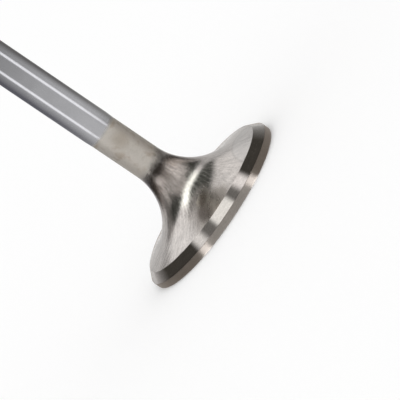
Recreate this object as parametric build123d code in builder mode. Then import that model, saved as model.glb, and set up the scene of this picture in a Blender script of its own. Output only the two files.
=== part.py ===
"""Engine valve: one forged and turned piece, standing on its head with the stem upright.

The origin is the centre of the flat combustion face, and +Z runs up the stem to its tip.
The whole valve is one outline turned about Z, so every size below is read off that outline.
"""

from build123d import *
from math import cos, radians, sin
import os

# Head: the flat combustion face, the upright margin and the ground seat, in mm and degrees
head_diameter = 36.7
margin_height = 1.55
face_edge_radius = 0.2  # the rounded corner between combustion face and margin
seat_angle = 45.0  # measured from the combustion face
seat_width = 2.3  # measured along the slope of the seat

# Underhead: the shallow cone inside the seat, and the sweep that carries it into the neck
underhead_angle = 14.6  # measured from the combustion face
underhead_radius = 12.0

# Neck: the length left a little thinner than the ground stem
neck_diameter = 6.8
neck_length = 10.0  # straight part, above the sweep of the underhead
neck_run_out = 1.7  # short taper where the grinding of the stem dies out

# Stem and tip
stem_diameter = 6.98
overall_length = 112.0
tip_chamfer = 0.8

# Keeper groove: a half-round groove for the split collets that hold the spring retainer
groove_radius = 1.15
groove_depth = 0.8
groove_to_tip = 4.6  # from the middle of the groove to the flat tip

# Radii of the turned outline
head_radius = head_diameter / 2
neck_radius = neck_diameter / 2
stem_radius = stem_diameter / 2
seat_inner_radius = head_radius - seat_width * cos(radians(seat_angle))
seat_top = margin_height + seat_width * sin(radians(seat_angle))

# The sweep is tangent to the underhead cone and to the neck, which fixes the cone's length
sweep_angle = 90 - underhead_angle
sweep_reach = underhead_radius * (1 - sin(radians(underhead_angle)))
cone_length = (seat_inner_radius - neck_radius - sweep_reach) / cos(radians(underhead_angle))


with BuildPart() as valve:
    # The solid of revolution, from the combustion face up to the tip
    with BuildSketch(Plane.XZ):
        with BuildLine():
            rim = Polyline(
                (0, 0),
                (head_radius, 0),
                (head_radius, margin_height),
                (seat_inner_radius, seat_top),
            )
            cone = PolarLine(rim @ 1, cone_length, angle=180 - underhead_angle)
            sweep = JernArc(cone @ 1, cone % 1, underhead_radius, -sweep_angle)
            neck = PolarLine(sweep @ 1, neck_length, angle=90)
            run_out = Line(neck @ 1, (stem_radius, (neck @ 1).Y + neck_run_out))
            Polyline(run_out @ 1, (stem_radius, overall_length), (0, overall_length), (0, 0))
        make_face()
    revolve(axis=Axis.Z)

    # The two outer corners, worked while the outline has no groove in it
    rings = valve.edges().filter_by(GeomType.CIRCLE).sort_by(Axis.Z)
    chamfer(rings[-1], length=tip_chamfer)
    fillet(rings[0], radius=face_edge_radius)

    # Keeper groove, a ring of round section sunk into the stem near its tip
    with BuildSketch(Plane.XZ):
        with Locations((stem_radius - groove_depth + groove_radius, overall_length - groove_to_tip)):
            Circle(groove_radius)
    revolve(axis=Axis.Z, mode=Mode.SUBTRACT)


os.makedirs("parts", exist_ok=True)
valve.part.label = "valve"
export_step(valve.part, "parts/valve.step")
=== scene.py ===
"""Looks of the engine valve: the turned body with the finish of each of its surfaces, and the studio."""

from math import atan, cos, degrees, pi, radians, sin

import bpy
from mathutils import Matrix, Vector


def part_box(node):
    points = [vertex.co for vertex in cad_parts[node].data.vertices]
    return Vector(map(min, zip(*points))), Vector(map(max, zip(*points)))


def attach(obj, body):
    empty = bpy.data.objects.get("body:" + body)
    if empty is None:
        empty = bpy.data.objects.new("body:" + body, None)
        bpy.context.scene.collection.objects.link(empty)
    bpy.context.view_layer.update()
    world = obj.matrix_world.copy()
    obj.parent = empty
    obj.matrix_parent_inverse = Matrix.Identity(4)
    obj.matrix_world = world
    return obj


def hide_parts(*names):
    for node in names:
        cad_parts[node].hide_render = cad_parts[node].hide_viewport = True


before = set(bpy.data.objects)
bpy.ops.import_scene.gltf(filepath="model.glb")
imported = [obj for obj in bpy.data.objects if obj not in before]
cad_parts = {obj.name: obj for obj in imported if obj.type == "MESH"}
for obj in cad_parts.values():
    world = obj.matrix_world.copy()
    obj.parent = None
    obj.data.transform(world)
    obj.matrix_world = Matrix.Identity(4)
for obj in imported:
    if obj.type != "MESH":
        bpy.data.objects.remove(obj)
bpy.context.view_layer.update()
MM = 0.001

# ---------------------------------------------------------------- sizes of the valve, in metres
HEAD_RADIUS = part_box("valve")[1].x
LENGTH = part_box("valve")[1].z
FACE_EDGE_RADIUS = 0.2 * MM
MARGIN_HEIGHT = 1.55 * MM
SEAT_ANGLE = radians(45.0)
SEAT_WIDTH = 2.3 * MM
UNDERHEAD_ANGLE = radians(14.6)
SWEEP_RADIUS = 12.0 * MM
NECK_RADIUS = 3.4 * MM
NECK_LENGTH = 10.0 * MM
RUN_OUT = 1.7 * MM
STEM_RADIUS = 3.49 * MM
TIP_CHAMFER = 0.8 * MM
GROOVE_RADIUS = 1.15 * MM
GROOVE_DEPTH = 0.8 * MM
GROOVE_TO_TIP = 4.6 * MM
EDGE_BREAK = 0.05 * MM

SEAT_INNER_RADIUS = HEAD_RADIUS - SEAT_WIDTH * cos(SEAT_ANGLE)
SEAT_TOP = MARGIN_HEIGHT + SEAT_WIDTH * sin(SEAT_ANGLE)
SWEEP_REACH = SWEEP_RADIUS * (1 - sin(UNDERHEAD_ANGLE))
CONE_LENGTH = (SEAT_INNER_RADIUS - NECK_RADIUS - SWEEP_REACH) / cos(UNDERHEAD_ANGLE)
CONE_TOP = SEAT_TOP + CONE_LENGTH * sin(UNDERHEAD_ANGLE)
CONE_TOP_RADIUS = SEAT_INNER_RADIUS - CONE_LENGTH * cos(UNDERHEAD_ANGLE)
SWEEP_TOP = CONE_TOP + SWEEP_RADIUS * cos(UNDERHEAD_ANGLE)
NECK_TOP = SWEEP_TOP + NECK_LENGTH
STEM_START = NECK_TOP + RUN_OUT
GROOVE_MIDDLE = LENGTH - GROOVE_TO_TIP

# ---------------------------------------------------------------- how finely the body is drawn
SEGMENTS = 256  # round the stem
FACE_EDGE_STEPS = 6
SWEEP_STEPS = 48
NECK_STEPS = 4
STEM_STEPS = 12
GROOVE_STEPS = 16
CORNER_HOLD = 0.14 * MM  # from a corner to the ring that keeps the surface beside it straight
SAME_HEIGHT = 0.001 * MM
MERGE_UNDER = 0.0001 * MM
SMOOTH_UNDER = radians(20.0)
LEVEL_OVER = 0.9  # a face that faces up or down by more than this is an end of the valve
SEAT_UNDER = 0.85  # the seat faces up by less than this, and the underhead by more

# ---------------------------------------------------------------- the finishes, in mm
STREAK_TWIST = 0.02  # radians for each mm along the outline
STAIN_PLACE = (0.6, -3.4, 23.0)

# ---------------------------------------------------------------- the studio
TENT_RADIUS = 1.2  # metres, as the floor's sizes
FLOOR_RADIUS = 6.0
FLOOR_HEIGHT = -0.02 * MM  # just clear of the combustion face
CANOPY_HEIGHT = 42.0  # mm, as all that is painted on a sheet
COLLAR_HEIGHT = 6.5
SURROUND_HEIGHT = 0.01

# ---------------------------------------------------------------- camera
VIEW_SIDE = 400  # pixels
CAMERA_DISTANCE = 0.46875  # metres from the middle of the combustion face
CAMERA_ELEVATION = radians(12.6)
CAMERA_ROLL = radians(55.92)  # how far the stem leans to the left in the view
PIXELS_AWAY = 2460  # the camera's distance, in pixels of the view at the head
HEAD_PIXEL = (214.15, 207.39)  # where the middle of the combustion face lies in the view
SENSOR_WIDTH = 36.0


def make_camera():
    """Looks down on the head from the stem's side, rolled so that the stem leans to the upper left."""
    data = bpy.data.cameras.new("camera")
    data.sensor_width = SENSOR_WIDTH
    data.lens = PIXELS_AWAY / VIEW_SIDE * SENSOR_WIDTH
    data.clip_start = 0.05
    data.clip_end = 20.0
    camera = bpy.data.objects.new("camera", data)
    bpy.context.collection.objects.link(camera)
    # Turned upright first, then rolled about its own line of sight
    upright = Matrix.Rotation(pi / 2 - CAMERA_ELEVATION, 4, "X")
    rolled = upright @ Matrix.Rotation(-CAMERA_ROLL, 4, "Z")
    # A small turn brings the head from the middle of the view to its own place
    right_by = (HEAD_PIXEL[0] - VIEW_SIDE / 2) / PIXELS_AWAY
    down_by = (HEAD_PIXEL[1] - VIEW_SIDE / 2) / PIXELS_AWAY
    aimed = rolled @ Matrix.Rotation(atan(right_by), 4, "Y") @ Matrix.Rotation(atan(down_by), 4, "X")
    back = Vector((0, -cos(CAMERA_ELEVATION), sin(CAMERA_ELEVATION)))
    camera.matrix_world = Matrix.Translation(back * CAMERA_DISTANCE) @ aimed
    bpy.context.scene.camera = camera


# ---------------------------------------------------------------- node graphs
class Graph:
    """Adds nodes to a shader tree, each wired to the sockets or set to the numbers it is given."""

    def __init__(self, tree):
        self.tree = tree
        tree.nodes.clear()

    def add(self, kind, inputs=(), output=0, **settings):
        made = self.tree.nodes.new("ShaderNode" + kind)
        for name, value in settings.items():
            setattr(made, name, value)
        for key, value in dict(inputs).items():
            if isinstance(value, bpy.types.NodeSocket):
                self.tree.links.new(value, made.inputs[key])
            else:
                made.inputs[key].default_value = value
        return made.outputs[output] if output is not None else made

    def math(self, operation, a, b=0.0):
        return self.add("Math", {0: a, 1: b}, operation=operation)

    def plus(self, a, b):
        return self.math("ADD", a, b)

    def minus(self, a, b):
        return self.math("SUBTRACT", a, b)

    def times(self, a, b):
        return self.math("MULTIPLY", a, b)

    def most(self, a, b):
        return self.math("MAXIMUM", a, b)

    def gap(self, a, b):
        """How far a is from b, either way."""
        return self.math("ABSOLUTE", self.minus(a, b))

    def vector(self, operation, a, b=(0, 0, 0), output="Vector"):
        return self.add("VectorMath", {0: a, 1: b}, output, operation=operation)

    def length(self, vector):
        return self.vector("LENGTH", vector, output="Value")

    def scaled(self, vector, scale):
        return self.add("VectorMath", {0: vector, "Scale": scale}, operation="SCALE")

    def turned(self, vector, angle):
        return self.add("VectorRotate", {"Vector": vector, "Angle": angle}, rotation_type="Z_AXIS")

    def combine(self, x=0.0, y=0.0, z=0.0):
        return self.add("CombineXYZ", {0: x, 1: y, 2: z})

    def separate(self, vector):
        return tuple(self.add("SeparateXYZ", {0: vector}, None).outputs)

    def place(self):
        """Where a point lies on its piece, in metres."""
        return self.add("TexCoord", output="Object")

    def noise(self, vector, scale, detail, roughness=0.6):
        inputs = {"Vector": vector, "Scale": scale, "Detail": detail, "Roughness": roughness}
        return self.add("TexNoise", inputs)

    def between(self, value, low, high, to_low=0.0, to_high=1.0, smooth=True):
        """Maps value from low..high to to_low..to_high, clamped, with soft ends where smooth."""
        inputs = {"Value": value, "From Min": low, "From Max": high, "To Min": to_low, "To Max": to_high}
        kind = "SMOOTHSTEP" if smooth else "LINEAR"
        return self.add("MapRange", inputs, interpolation_type=kind)

    def blend(self, factor, a, b):
        """The number a where factor is 0, and b where it is 1."""
        return self.add("Mix", {"Factor": factor, 2: a, 3: b})

    def mix(self, factor, a, b):
        """The colour a where factor is 0, and b where it is 1."""
        return self.add("Mix", {"Factor": factor, 6: a, 7: b}, 2, data_type="RGBA")

    def spot(self, where, centre, half_size, edge, turn=0.0):
        """1 inside an oval, 0 outside, with a soft edge; turn is in degrees and height doesn't count."""
        off = self.vector("SUBTRACT", where, (centre[0], centre[1], 0.0))
        if turn:
            off = self.turned(off, radians(turn))
        any_height = 1e6
        off = self.vector("DIVIDE", off, (half_size[0], half_size[1], any_height))
        return self.between(self.length(off), 1.0 - edge, 1.0 + edge, 1.0, 0.0)


def grey(tone):
    return (tone, tone, tone, 1.0)


# ---------------------------------------------------------------- finishes
def bench_marks(graph):
    """Where a point lies on the turned body, in mm: direction round the stem, radius, height and the
    way along the outline."""
    in_mm = graph.scaled(graph.place(), 1 / MM)
    x, y, height = graph.separate(in_mm)
    flat = graph.combine(x, y, 0.0)
    radius = graph.length(flat)
    around = graph.vector("NORMALIZE", flat)
    return {
        "mm": in_mm,
        "around": around,
        "radius": radius,
        "height": height,
        "along": graph.minus(radius, height),
    }


def lines_round(graph, marks, per_mm, length, reach, detail=3.0):
    """Fine lines that run round the stem, of a length in mm, on a surface whose radius is about reach."""
    x, y, _ = graph.separate(graph.scaled(marks["around"], reach / length))
    return graph.noise(graph.combine(x, y, graph.times(marks["along"], per_mm)), 1.0, detail)


def lines_along(graph, marks, count, length):
    """Streaks from the stem to the rim: count of them to a turn, length in mm, twisting as they go."""
    around = graph.turned(marks["around"], graph.times(marks["along"], STREAK_TWIST))
    x, y, _ = graph.separate(graph.scaled(around, count / (2 * pi)))
    return graph.noise(graph.combine(x, y, graph.math("DIVIDE", marks["along"], length)), 1.0, 4.0)


def shade(graph, colour, tone, amount):
    """Makes a colour lighter and darker by a 0 to 1 tone, by as much as amount each way."""
    gain = graph.between(tone, 0.25, 0.75, 1.0 - amount, 1.0 + amount, smooth=False)
    return graph.scaled(colour, gain)


def raised(graph, relief, depth):
    """Makes the light fall as if a 0 to 1 relief stood depth high on the surface."""
    return graph.add("Bump", {"Strength": 1.0, "Distance": depth, "Height": relief})


def metal(graph, colour, roughness, normal, anisotropy, across):
    """Bare metal whose gloss spreads across its lines: across is True where they run round the stem."""
    round_stem = graph.vector("CROSS_PRODUCT", (0, 0, 1), graph.place())
    shader = graph.add(
        "BsdfPrincipled",
        {
            "Base Color": colour,
            "Metallic": 1.0,
            "Roughness": roughness,
            "Anisotropic": anisotropy,
            "Anisotropic Rotation": 0.25 if across else 0.0,
            "Tangent": round_stem,
            "Normal": normal,
        },
    )
    graph.add("OutputMaterial", {"Surface": shader}, None)


def new_finish(name):
    material = bpy.data.materials.new(name)
    material.use_nodes = True
    graph = Graph(material.node_tree)
    return material, graph, bench_marks(graph)


def ground_finish(
    name, colour, roughness, reach, per_mm, length, depth, anisotropy=0.7, vary=0.08, speckle=0.06
):
    """Ground or turned: fine lines round the stem, in tone, gloss and height.

    reach is the surface's radius, and length and depth are those of a line, all in mm. The tone changes
    by vary from line to line, and by speckle from grain to grain.
    """
    material, graph, marks = new_finish(name)
    fine = lines_round(graph, marks, per_mm, length, reach)
    broad = lines_round(graph, marks, per_mm / 5, length * 1.6, reach, detail=2.0)
    both = graph.plus(graph.times(fine, 0.5), graph.times(broad, 0.5))
    cloud = graph.noise(marks["mm"], 0.35, 3.0)
    grain = graph.noise(marks["mm"], 3.2, 3.0, 0.7)
    tone = shade(graph, colour, both, vary)
    tone = shade(graph, tone, cloud, vary * 0.5)
    tone = shade(graph, tone, grain, speckle)
    gloss = graph.between(both, 0.3, 0.7, roughness * 0.8, roughness * 1.2, smooth=False)
    metal(graph, tone, gloss, raised(graph, fine, depth * MM), anisotropy, across=True)
    return material


def painted_brown_reflection(graph, mm, streaks):
    """Where a painted brown reflection lies on the front of the underhead, drawn out to the right, and
    where its darker core is.
    """
    low_part = graph.spot(mm, (0.1, -14.4), (4.6, 4.2), 0.5)
    high_part = graph.spot(mm, (0.5, -10.6), (1.5, 3.0), 0.6, 48)
    streaky = graph.times(graph.minus(streaks, 0.5), 0.7)
    brown_reflection_mask = graph.between(graph.plus(graph.most(low_part, high_part), streaky), 0.15, 0.95)
    low_core = graph.spot(mm, (-1.8, -13.4), (1.6, 3.2), 0.5, 6)
    high_core = graph.spot(mm, (-0.4, -10.9), (1.1, 2.1), 0.6, 48)
    return brown_reflection_mask, graph.most(low_core, high_core)


def polish(graph, marks, streaks, cloud, grain, brown_reflection_mask, core):
    """The colour of the hand-polished steel with its streaks, and the reflections that are painted on it.
    """
    tone = shade(graph, (0.60, 0.57, 0.55), streaks, 0.26)
    tone = shade(graph, tone, grain, 0.18)
    tone = shade(graph, tone, cloud, 0.18)
    # Painted reflection of the neck and sweep: brown, darker at its core
    brown = graph.mix(core, (0.42, 0.385, 0.355, 1), (0.085, 0.064, 0.052, 1))
    brown = shade(graph, brown, grain, 0.12)
    tone = graph.mix(graph.times(brown_reflection_mask, 0.8), tone, brown)
    # A short run of the painted dark reflection on the front
    dark_reflection_dip = graph.times(graph.spot(marks["mm"], (0.0, -4.1), (0.8, 1.3), 0.7), 0.4)
    tone = graph.mix(dark_reflection_dip, tone, (0.11, 0.095, 0.082, 1))
    # A painted reflection on the right: a faint pale patch with a darker line round it
    reflected_patch = graph.spot(marks["mm"], (13.6, -7.7), (3.4, 8.5), 0.12, 12)
    tone = graph.mix(graph.times(reflected_patch, 0.5), tone, (0.58, 0.57, 0.565, 1))
    reflected_patch_outline = graph.times(reflected_patch, graph.minus(1.0, reflected_patch))
    return graph.mix(reflected_patch_outline, tone, (0.28, 0.27, 0.26, 1))


def satin(graph, marks, cloud, grain):
    """The colour of the neck, mottled with faint tan patches and one larger stain on the front."""
    patches = graph.between(graph.noise(marks["mm"], 0.45, 4.0), 0.5, 0.72)
    from_stain = graph.vector("DISTANCE", marks["mm"], STAIN_PLACE, output="Value")
    from_stain = graph.plus(from_stain, graph.times(cloud, 2.0))
    patches = graph.most(patches, graph.between(from_stain, 1.4, 3.6, 0.75, 0.0))
    tone = graph.mix(patches, (0.58, 0.55, 0.505, 1), (0.45, 0.40, 0.34, 1))
    return shade(graph, tone, grain, 0.10)


def polished_underhead():
    """Polished by hand in streaks from neck to rim, satin on the neck, with a ring of painted dark
    reflection between the two.
    """
    material, graph, marks = new_finish("polished_underhead")
    broad = lines_along(graph, marks, count=62, length=3.2)
    fine = lines_along(graph, marks, count=170, length=3.0)
    # Broad streaks show near the neck, the fine ones towards the rim
    streaks = graph.blend(graph.between(marks["radius"], 4.5, 8.0), broad, fine)
    cloud = graph.noise(marks["mm"], 0.28, 4.0)
    grain = graph.noise(marks["mm"], 2.6, 4.0, 0.75)
    # The satin's edge and the ring of painted dark reflection are uneven, a little higher on the right, and
    # the ring runs down in the middle of the front
    top = SWEEP_TOP / MM
    x, y, _ = graph.separate(marks["mm"])
    wander = graph.times(graph.minus(cloud, 0.5), 2.0)
    wander = graph.plus(wander, graph.times(graph.minus(broad, 0.5), 1.1))
    height = graph.plus(marks["height"], graph.minus(wander, graph.times(x, 0.11)))
    on_neck = graph.between(height, top - 1.5, top + 0.5)
    run = graph.between(graph.gap(x, 0.3), 0.0, 1.5, 0.4, 0.0)
    run = graph.times(run, graph.between(y, -1.0, 0.0, 1.0, 0.0))
    in_dark_reflection = graph.between(graph.plus(height, run), top - 3.2, top - 1.1)
    # The painted dark reflection is darkest on the right
    ring = graph.mix(graph.between(x, 0.8, 1.6), (0.33, 0.305, 0.28, 1), (0.20, 0.185, 0.168, 1))
    # Painted brown reflection of the neck and sweep on the front
    brown_reflection_mask, core = painted_brown_reflection(graph, marks["mm"], streaks)
    tone = polish(graph, marks, streaks, cloud, grain, brown_reflection_mask, core)
    # Painted dark reflection in a ring below the satin
    tone = graph.mix(in_dark_reflection, tone, ring)
    tone = graph.mix(on_neck, tone, satin(graph, marks, cloud, grain))
    # Glossy where it is polished, and duller on the neck and where the brown reflection is painted
    gloss = graph.between(fine, 0.3, 0.7, 0.11, 0.22, smooth=False)
    gloss = graph.blend(on_neck, gloss, graph.between(grain, 0.3, 0.7, 0.42, 0.54))
    below_ring = graph.between(height, top - 2.0, top - 3.0, 0.0, 0.13)
    gloss = graph.plus(gloss, graph.times(brown_reflection_mask, below_ring))
    relief = graph.plus(streaks, graph.times(grain, 0.5))
    relief = graph.blend(on_neck, relief, graph.times(grain, 0.2))
    depth = graph.between(marks["radius"], 4.6, 7.0, 0.042 * MM, 0.011 * MM)
    metal(graph, tone, gloss, raised(graph, relief, depth), anisotropy=0.3, across=False)
    return material


def chromed_stem():
    """Hard chrome, ground round the stem, thinning out to bare steel at its lower end."""
    material, graph, marks = new_finish("chromed_stem")
    fine = lines_round(graph, marks, per_mm=9.0, length=3.0, reach=STEM_RADIUS / MM)
    cloud = graph.noise(marks["mm"], 0.35, 3.0)
    chrome = shade(graph, (0.385, 0.385, 0.398), fine, 0.03)
    chrome = shade(graph, chrome, cloud, 0.03)
    low = NECK_TOP / MM
    height = graph.plus(marks["height"], graph.times(graph.minus(cloud, 0.5), 0.8))
    worn = graph.between(height, low - 0.1, low + 0.8, 1.0, 0.0)
    tone = graph.mix(worn, chrome, (0.56, 0.54, 0.505, 1))
    gloss = graph.blend(worn, graph.between(fine, 0.3, 0.7, 0.13, 0.19, smooth=False), 0.46)
    metal(graph, tone, gloss, raised(graph, fine, 0.0006 * MM), anisotropy=0.6, across=True)
    return material


# ---------------------------------------------------------------- the turned body
def ring_to(radius, height, state):
    """Extrudes the open top ring of the body to a new radius and height."""
    bpy.ops.mesh.extrude_edges_move(TRANSFORM_OT_translate={"value": (0, 0, height - state["height"])})
    factor = radius / state["radius"]
    bpy.ops.transform.resize(value=(factor, factor, 1), center_override=(0, 0, height))
    state.update(radius=radius, height=height)


def beside(corner, other):
    """The point that lies next to a corner, on the line to the other one."""
    corner, other = Vector(corner), Vector(other)
    return tuple(corner + (other - corner).normalized() * CORNER_HOLD)


def outline():
    """Radius and height of every ring, from the edge of the combustion face to the edge of the tip."""
    rings = []
    # Rounded edge of the combustion face, then the margin
    for step in range(1, FACE_EDGE_STEPS + 1):
        turn = pi / 2 * step / FACE_EDGE_STEPS
        rings.append((HEAD_RADIUS - FACE_EDGE_RADIUS * (1 - sin(turn)), FACE_EDGE_RADIUS * (1 - cos(turn))))
    rings.append((HEAD_RADIUS, FACE_EDGE_RADIUS + CORNER_HOLD))
    margin_top = (HEAD_RADIUS, MARGIN_HEIGHT)
    seat_top = (SEAT_INNER_RADIUS, SEAT_TOP)
    cone_top = (CONE_TOP_RADIUS, CONE_TOP)
    rings += [beside(margin_top, (HEAD_RADIUS, 0)), margin_top]
    # Seat and underhead cone, with a ring close to each corner that keeps them straight up to it
    for start, end in ((margin_top, seat_top), (seat_top, cone_top)):
        rings += [beside(start, end), beside(end, start), end]
    # Sweep into the neck
    for step in range(1, SWEEP_STEPS + 1):
        lean = UNDERHEAD_ANGLE + (pi / 2 - UNDERHEAD_ANGLE) * step / SWEEP_STEPS
        rings.append((NECK_RADIUS + SWEEP_RADIUS * (1 - sin(lean)), SWEEP_TOP - SWEEP_RADIUS * cos(lean)))
    # Neck, run-out of the grinding and stem, in lengths that keep the faces from getting too long
    for step in range(1, NECK_STEPS + 1):
        rings.append((NECK_RADIUS, SWEEP_TOP + NECK_LENGTH * step / NECK_STEPS))
    rings.append((STEM_RADIUS, STEM_START))
    half_width = (GROOVE_RADIUS**2 - (GROOVE_RADIUS - GROOVE_DEPTH) ** 2) ** 0.5
    groove_start = GROOVE_MIDDLE - half_width
    for step in range(1, STEM_STEPS + 1):
        rings.append((STEM_RADIUS, STEM_START + (groove_start - STEM_START) * step / STEM_STEPS))
    # Keeper groove, a half-round hollow
    centre = STEM_RADIUS + GROOVE_RADIUS - GROOVE_DEPTH
    for step in range(1, GROOVE_STEPS + 1):
        height = -half_width + 2 * half_width * step / GROOVE_STEPS
        rings.append((centre - (GROOVE_RADIUS**2 - height**2) ** 0.5, GROOVE_MIDDLE + height))
    # Land above the groove and chamfered tip
    rings.append((STEM_RADIUS, LENGTH - TIP_CHAMFER))
    rings.append((STEM_RADIUS - TIP_CHAMFER, LENGTH))
    return rings


def turned_body():
    """The whole valve as one closed mesh, built ring by ring from its combustion face up."""
    bpy.ops.object.select_all(action="DESELECT")
    start = HEAD_RADIUS - FACE_EDGE_RADIUS
    bpy.ops.mesh.primitive_circle_add(vertices=SEGMENTS, radius=start, fill_type="NOTHING")
    body = bpy.context.active_object
    body.name = body.data.name = "turned_valve"
    bpy.ops.object.mode_set(mode="EDIT")
    bpy.ops.mesh.select_mode(type="EDGE")
    bpy.ops.mesh.select_all(action="SELECT")
    state = {"radius": start, "height": 0.0}
    for radius, height in outline():
        ring_to(radius, height, state)
    # The tip is closed on the last ring, and the combustion face on the first
    bpy.ops.mesh.edge_face_add()
    bpy.ops.mesh.select_all(action="DESELECT")
    bpy.ops.mesh.select_non_manifold()
    bpy.ops.mesh.edge_face_add()
    bpy.ops.mesh.select_all(action="SELECT")
    bpy.ops.mesh.remove_doubles(threshold=MERGE_UNDER)
    bpy.ops.mesh.normals_make_consistent(inside=False)
    bpy.ops.object.mode_set(mode="OBJECT")
    return body


def break_edges(body):
    """Takes the sharpness off the turned corners, as a touch with a stone does."""
    for height in (MARGIN_HEIGHT, SEAT_TOP):
        bpy.ops.object.mode_set(mode="EDIT")
        bpy.ops.mesh.select_mode(type="EDGE")
        bpy.ops.mesh.select_all(action="DESELECT")
        bpy.ops.object.mode_set(mode="OBJECT")
        points = body.data.vertices
        for edge in body.data.edges:
            edge.select = all(abs(points[v].co.z - height) < SAME_HEIGHT for v in edge.vertices)
        bpy.ops.object.mode_set(mode="EDIT")
        bpy.ops.mesh.bevel(offset=EDGE_BREAK, segments=3, affect="EDGES")
        bpy.ops.object.mode_set(mode="OBJECT")


def zone_of(polygon):
    """Which finish a face of the body has, by its height and by how much it faces up."""
    height, up = polygon.center.z, polygon.normal.z
    if up < -LEVEL_OVER:
        return "combustion_face"
    if height < MARGIN_HEIGHT:
        return "margin"
    if height < SEAT_TOP and up < SEAT_UNDER:
        return "seat"
    if height < NECK_TOP:
        return "underhead"
    if up > LEVEL_OVER:
        return "tip"
    return "stem"


def dress(body, finishes):
    """Gives every face the finish of its zone."""
    order = list(finishes)
    for zone in order:
        body.data.materials.append(finishes[zone])
    for polygon in body.data.polygons:
        polygon.material_index = order.index(zone_of(polygon))


# ---------------------------------------------------------------- studio
def glow(graph, colour, clear=None):
    """A surface that shines in a colour; where clear is given, it isn't there where clear is 1, nor when
    met from behind.
    """
    surface = graph.add("Emission", {"Color": colour, "Strength": 1.0})
    if clear is not None:
        hole = graph.most(clear, graph.add("NewGeometry", output="Backfacing"))
        surface = graph.add("MixShader", {0: hole, 1: surface, 2: graph.add("BsdfTransparent")})
    graph.add("OutputMaterial", {"Surface": surface}, None)


def painted(piece, name):
    """Gives a studio piece a material to paint on, so that it shows in the metal and nowhere else.

    It neither blocks the view nor lights or shades the floor.
    """
    piece.visible_camera = False
    piece.visible_diffuse = False
    piece.visible_shadow = False
    material = bpy.data.materials.new(name)
    material.use_nodes = True
    material.cycles.emission_sampling = "NONE"
    piece.data.materials.append(material)
    return Graph(material.node_tree)


def sheet(name, middle, size, face_down):
    """A level sheet that carries painted lights and cards; its sizes and the places on it are in mm."""
    bpy.ops.object.select_all(action="DESELECT")
    turned = (pi, 0, 0) if face_down else (0, 0, 0)
    bpy.ops.mesh.primitive_plane_add(size=1.0, location=Vector(middle) * MM, rotation=turned)
    made = bpy.context.active_object
    made.name = name
    made.scale = (size[0] * MM, size[1] * MM, 1.0)
    bpy.ops.object.transform_apply(location=True, rotation=True, scale=True)
    graph = painted(made, name)
    return graph, graph.scaled(graph.place(), 1 / MM)


def make_tent():
    """A round light tent: pale, with a large round light overhead, cards round it and a dark foot."""
    bpy.ops.object.select_all(action="DESELECT")
    bpy.ops.mesh.primitive_uv_sphere_add(segments=64, ring_count=32, radius=TENT_RADIUS)
    tent = bpy.context.active_object
    tent.name = "tent"
    bpy.ops.object.shade_smooth()
    graph = painted(tent, "tent_cloth")
    x, y, z = graph.separate(graph.vector("NORMALIZE", graph.place()))
    from_top = graph.times(graph.math("ARCCOSINE", z), degrees(1.0))
    level = graph.vector("NORMALIZE", graph.combine(x, graph.times(y, -1.0), 0.0))
    # Degrees from the point overhead: to the right, and towards the camera
    where = graph.scaled(level, from_top)
    cloth = (0.50, 0.46, 0.44, 1)
    left_card = graph.spot(where, (-62, -6), (24, 50), 0.3)
    cloth = graph.mix(left_card, cloth, (0.33, 0.29, 0.27, 1))
    light_behind = graph.spot(where, (0, -52), (44, 28), 0.35)
    cloth = graph.mix(light_behind, cloth, (1.0, 0.99, 0.98, 1))
    ceiling_edge = graph.spot(where, (0, 20), (54, 44), 0.15)
    cloth = graph.mix(ceiling_edge, cloth, (0.46, 0.42, 0.39, 1))
    ceiling = graph.spot(where, (4, 12), (42, 32), 0.25)
    cloth = graph.mix(ceiling, cloth, (0.60, 0.56, 0.53, 1))
    front_right = graph.spot(where, (36, 50), (19, 17), 0.4)
    cloth = graph.mix(front_right, cloth, (0.66, 0.62, 0.59, 1))
    front_left = graph.spot(where, (-32, 54), (15, 13), 0.4)
    cloth = graph.mix(front_left, cloth, (0.62, 0.58, 0.55, 1))
    right_side = graph.spot(where, (68, 0), (13, 40), 0.3)
    cloth = graph.mix(right_side, cloth, (0.52, 0.47, 0.43, 1))
    small_light = graph.spot(where, (-61, 35), (7, 17), 0.6, 30)
    cloth = graph.mix(small_light, cloth, (0.98, 0.93, 0.90, 1))
    # The foot starts lower at the front left and all along the right
    aside, ahead, _ = graph.separate(level)
    on_left = graph.times(graph.between(aside, -0.5, -0.78, 0.0, 5.0), graph.between(ahead, 0.0, 0.35))
    on_right = graph.times(graph.between(aside, 0.5, 0.75, 0.0, 7.0), graph.between(ahead, -0.9, -0.6))
    foot = graph.between(graph.minus(from_top, graph.plus(on_left, on_right)), 67.5, 76.5)
    cloth = graph.mix(foot, cloth, (0.042, 0.035, 0.030, 1))
    low_behind = graph.spot(where, (0, -82), (50, 24), 0.35)
    cloth = graph.mix(low_behind, cloth, (0.62, 0.61, 0.60, 1))
    light = graph.spot(where, (4, -12), (30, 30), 0.1)
    glow(graph, graph.mix(light, cloth, (1.5, 1.48, 1.45, 1)))


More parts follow.
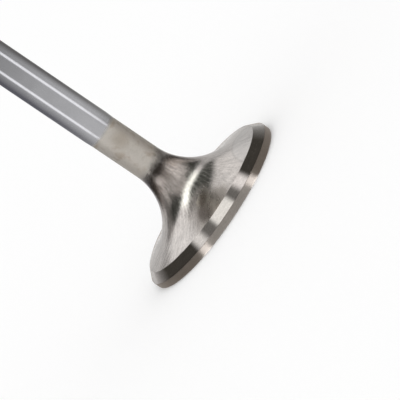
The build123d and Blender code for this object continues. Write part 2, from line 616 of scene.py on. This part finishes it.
def make_canopy():
    """Close over the head: a light bent like a horseshoe, open at the back, with dark cards round it
    and inside it."""
    middle = (5, 20)
    graph, place = sheet("canopy", (*middle, CANOPY_HEIGHT), (160, 150), face_down=True)
    x, y, _ = graph.separate(place)
    pale = graph.between(y, -20.0, 24.0, 0.72, 0.20)
    cloth = graph.combine(pale, graph.times(pale, 0.95), graph.times(pale, 0.91))
    front_left = graph.spot(place, (-18, -40), (26, 17), 0.5)
    cloth = graph.mix(front_left, cloth, (0.44, 0.42, 0.40, 1))
    # Dark card round the light, paler behind on the left and in front
    behind_left = graph.times(graph.between(y, 15.0, 60.0), graph.between(x, 0.0, -10.0))
    card_tone = graph.mix(behind_left, (0.050, 0.052, 0.046, 1), (0.50, 0.47, 0.45, 1))
    card_front = graph.spot(place, (-5, -23), (20, 9), 0.5)
    card_tone = graph.mix(card_front, card_tone, (0.43, 0.40, 0.38, 1))
    card = graph.spot(place, (16.6, 40), (51.6, 73.5), 0.08, 33)
    cloth = graph.mix(card, cloth, card_tone)
    # A small light in front, and dark cards further out on both sides
    small_light = graph.spot(place, (1, -37), (8, 7), 0.7)
    cloth = graph.mix(small_light, cloth, (0.95, 0.91, 0.88, 1))
    left_card = graph.spot(place, (-38, -14), (10, 6), 0.7)
    cloth = graph.mix(left_card, cloth, (0.16, 0.15, 0.14, 1))
    right_card = graph.spot(place, (67, 50), (11, 34), 0.35)
    cloth = graph.mix(right_card, cloth, (0.03, 0.03, 0.027, 1))
    # The light, brightest at its bend and dimmer along its right arm
    bright = graph.between(y, -9.0, 5.0, 2.35, 1.0)
    dimmer = graph.times(graph.between(x, 20.0, 36.0), graph.between(y, 2.0, 30.0, 0.0, 0.5))
    bright = graph.times(bright, graph.minus(1.0, dimmer))
    green = graph.between(y, -9.0, 5.0, 1.03, 0.985)
    light_tone = graph.combine(bright, graph.times(bright, green), graph.times(bright, 0.97))
    light = graph.spot(place, (15.0, 60), (42.8, 80.6), 0.02, 11)
    cloth = graph.mix(light, cloth, light_tone)
    # The card inside it, with pale patches of the room
    inside_tone = (0.082, 0.085, 0.076, 1)
    large_patch = graph.spot(place, (22, 46), (15.5, 34.5), 0.22, 17)
    inside_tone = graph.mix(large_patch, inside_tone, (0.92, 0.90, 0.88, 1))
    left_patch = graph.spot(place, (-10, 30), (8, 25), 0.6)
    inside_tone = graph.mix(left_patch, inside_tone, (0.62, 0.60, 0.58, 1))
    front_patch = graph.spot(place, (-1, 0), (9, 7), 0.5)
    inside_tone = graph.mix(front_patch, inside_tone, (0.36, 0.345, 0.325, 1))
    inside = graph.spot(place, (13.8, 26.75), (25.7, 42.25), 0.03, 18.6)
    cloth = graph.mix(inside, cloth, inside_tone)
    shown = graph.spot(place, middle, (76, 71), 0.06)
    glow(graph, cloth, graph.minus(1.0, shown))


def make_collar():
    """A low painted ring round the front of the head, which only the seat looks at."""
    graph, place = sheet("collar", (0, 0, COLLAR_HEIGHT), (126, 126), face_down=True)
    x, y, _ = graph.separate(place)
    # Degrees round the stem from the front, to the right
    round_by = graph.times(graph.math("ARCTAN2", x, graph.times(y, -1.0)), degrees(1.0))
    aside = graph.math("ABSOLUTE", round_by)

    def card(under, middle, half_width, colour):
        soft = 3.6
        off = graph.gap(round_by, middle)
        return graph.mix(graph.between(off, half_width - soft, half_width + soft, 1.0, 0.0), under, colour)

    behind = graph.mix(graph.between(x, -5.0, 5.0), (0.80, 0.77, 0.76, 1), (0.54, 0.53, 0.52, 1))
    tone = graph.mix(graph.between(aside, 80.0, 150.0, smooth=False), (0.066, 0.060, 0.052, 1), behind)
    # A light in the middle, and on each side of it a dim card and a narrower light
    dim = (0.21, 0.20, 0.19, 1)
    tone = card(tone, 1.2, 11.4, (1.2, 1.18, 1.14, 1))
    tone = card(tone, -16.0, 5.8, dim)
    tone = card(tone, 17.4, 4.8, dim)
    tone = card(tone, -27.0, 5.4, (1.02, 0.99, 0.97, 1))
    tone = card(tone, 28.0, 5.9, (1.15, 1.10, 1.08, 1))
    # Wider and further out towards the back, clear of what the underhead looks at
    away = graph.length(place)
    inner_edge = graph.plus(
        graph.between(aside, 55.0, 110.0, 15.5, 22.0, smooth=False),
        graph.between(aside, 110.0, 150.0, 0.0, 18.0, smooth=False),
    )
    outer_edge = graph.between(aside, 100.0, 145.0, 31.0, 62.0, smooth=False)
    past_inner = graph.math("GREATER_THAN", away, inner_edge)
    within_outer = graph.math("LESS_THAN", away, outer_edge)
    shown = graph.times(past_inner, within_outer)
    shown = graph.times(shown, graph.between(aside, 150.0, 156.0, 1.0, 0.0))
    glow(graph, tone, graph.minus(1.0, shown))


def make_surround():
    """What the metal sees of the floor: white in front, darker at the sides and far away, with bright
    bands."""
    graph, place = sheet("floor_surround", (0, 0, SURROUND_HEIGHT), (2400, 2400), face_down=False)
    away = graph.length(place)
    # Both run from -1 to 1: to the right, and to the back
    x, y, _ = graph.separate(graph.vector("NORMALIZE", place))
    aside = graph.math("ABSOLUTE", x)
    in_front = graph.between(y, 0.1, -0.1)
    # Far out, where the stem looks
    pale = graph.between(away, 240.0, 600.0, 1.1, 0.3)
    outward = graph.between(away, 140.0, 270.0, smooth=False)
    left = graph.times(graph.between(y, -0.65, 0.5, smooth=False), graph.between(x, -0.1, -0.3))
    left_tone = graph.mix(outward, (0.41, 0.41, 0.43, 1), (0.215, 0.215, 0.245, 1))
    right = graph.times(graph.between(y, -0.2, 0.6, smooth=False), graph.between(x, 0.1, 0.3))
    right_tone = graph.mix(outward, (0.48, 0.47, 0.455, 1), (0.26, 0.25, 0.245, 1))
    far = graph.mix(left, graph.combine(pale, pale, pale), left_tone)
    far = graph.mix(right, far, right_tone)
    band_at = graph.between(x, -0.1, 0.1, 0.74, 0.765)
    band = graph.times(graph.between(graph.gap(aside, band_at), 0.05, 0.125, 1.0, 0.0), in_front)
    far = graph.mix(band, far, (2.25, 2.25, 2.28, 1))
    # Close in, where only the margin looks
    shaded = graph.most(graph.between(aside, 0.35, 0.60), graph.between(y, -0.4, 0.0))
    near = graph.mix(shaded, (1.0, 1.0, 1.0, 1), (0.50, 0.46, 0.425, 1))
    gleam_at = graph.plus(
        graph.between(away, 18.4, 24.4, 0.40, 0.495, smooth=False),
        graph.between(x, -0.1, 0.1, 0.0, 0.045),
    )
    gleam = graph.times(graph.between(graph.gap(aside, gleam_at), 0.02, 0.095, 1.0, 0.0), in_front)
    near = graph.mix(gleam, near, (3.6, 3.55, 3.6, 1))
    # Between the two, where the neck looks: shaded on the right
    further = graph.between(away, 72.0, 115.0, smooth=False)
    shade_tone = graph.mix(further, (0.42, 0.39, 0.36, 1), (0.18, 0.17, 0.155, 1))
    halfway = graph.mix(graph.between(x, 0.30, 0.98), (1.0, 0.99, 0.98, 1), shade_tone)
    seen = graph.mix(graph.math("GREATER_THAN", away, 60.0), near, halfway)
    glow(graph, graph.mix(graph.math("GREATER_THAN", away, 120.0), seen, far))


def make_floor():
    """A plain white floor, wide enough to fill the view from every side."""
    bpy.ops.object.select_all(action="DESELECT")
    bpy.ops.mesh.primitive_circle_add(
        vertices=96, radius=FLOOR_RADIUS, fill_type="NGON", location=(0, 0, FLOOR_HEIGHT)
    )
    floor = bpy.context.active_object
    floor.name = "floor"
    material = bpy.data.materials.new("white_floor")
    material.use_nodes = True
    graph = Graph(material.node_tree)
    shader = graph.add("BsdfDiffuse", {"Color": grey(0.99)})
    graph.add("OutputMaterial", {"Surface": shader}, None)
    floor.data.materials.append(material)


def make_world():
    """An even white studio."""
    world = bpy.data.worlds.new("studio")
    bpy.context.scene.world = world
    world.use_nodes = True
    graph = Graph(world.node_tree)
    light = graph.add("Background", {"Color": grey(1.0), "Strength": 1.0})
    graph.add("OutputWorld", {"Surface": light}, None)


def make_studio():
    make_world()
    make_floor()
    make_tent()
    make_canopy()
    make_collar()
    make_surround()
    bpy.context.scene.view_settings.view_transform = "Standard"


# ---------------------------------------------------------------- put together
make_camera()
make_studio()

valve = turned_body()
break_edges(valve)
finishes = {
    "combustion_face": ground_finish(
        "faced_steel", (0.42, 0.40, 0.37), 0.36, reach=12.0, per_mm=5.0, length=12.0, depth=0.004
    ),
    "margin": ground_finish(
        "turned_margin",
        (0.285, 0.260, 0.235),
        0.32,
        reach=18.0,
        per_mm=7.0,
        length=2.0,
        depth=0.005,
        vary=0.12,
        speckle=0.12,
    ),
    "seat": ground_finish(
        "ground_seat",
        (0.60, 0.58, 0.56),
        0.15,
        reach=18.0,
        per_mm=7.0,
        length=1.2,
        depth=0.005,
        anisotropy=0.8,
        vary=0.14,
        speckle=0.12,
    ),
    "underhead": polished_underhead(),
    "stem": chromed_stem(),
    "tip": ground_finish(
        "ground_tip", (0.52, 0.51, 0.49), 0.30, reach=2.5, per_mm=8.0, length=3.0, depth=0.002
    ),
}
dress(valve, finishes)
bpy.ops.object.select_all(action="DESELECT")
valve.select_set(True)
bpy.context.view_layer.objects.active = valve
bpy.ops.object.shade_smooth_by_angle(angle=SMOOTH_UNDER)
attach(valve, "root")
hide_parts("valve")
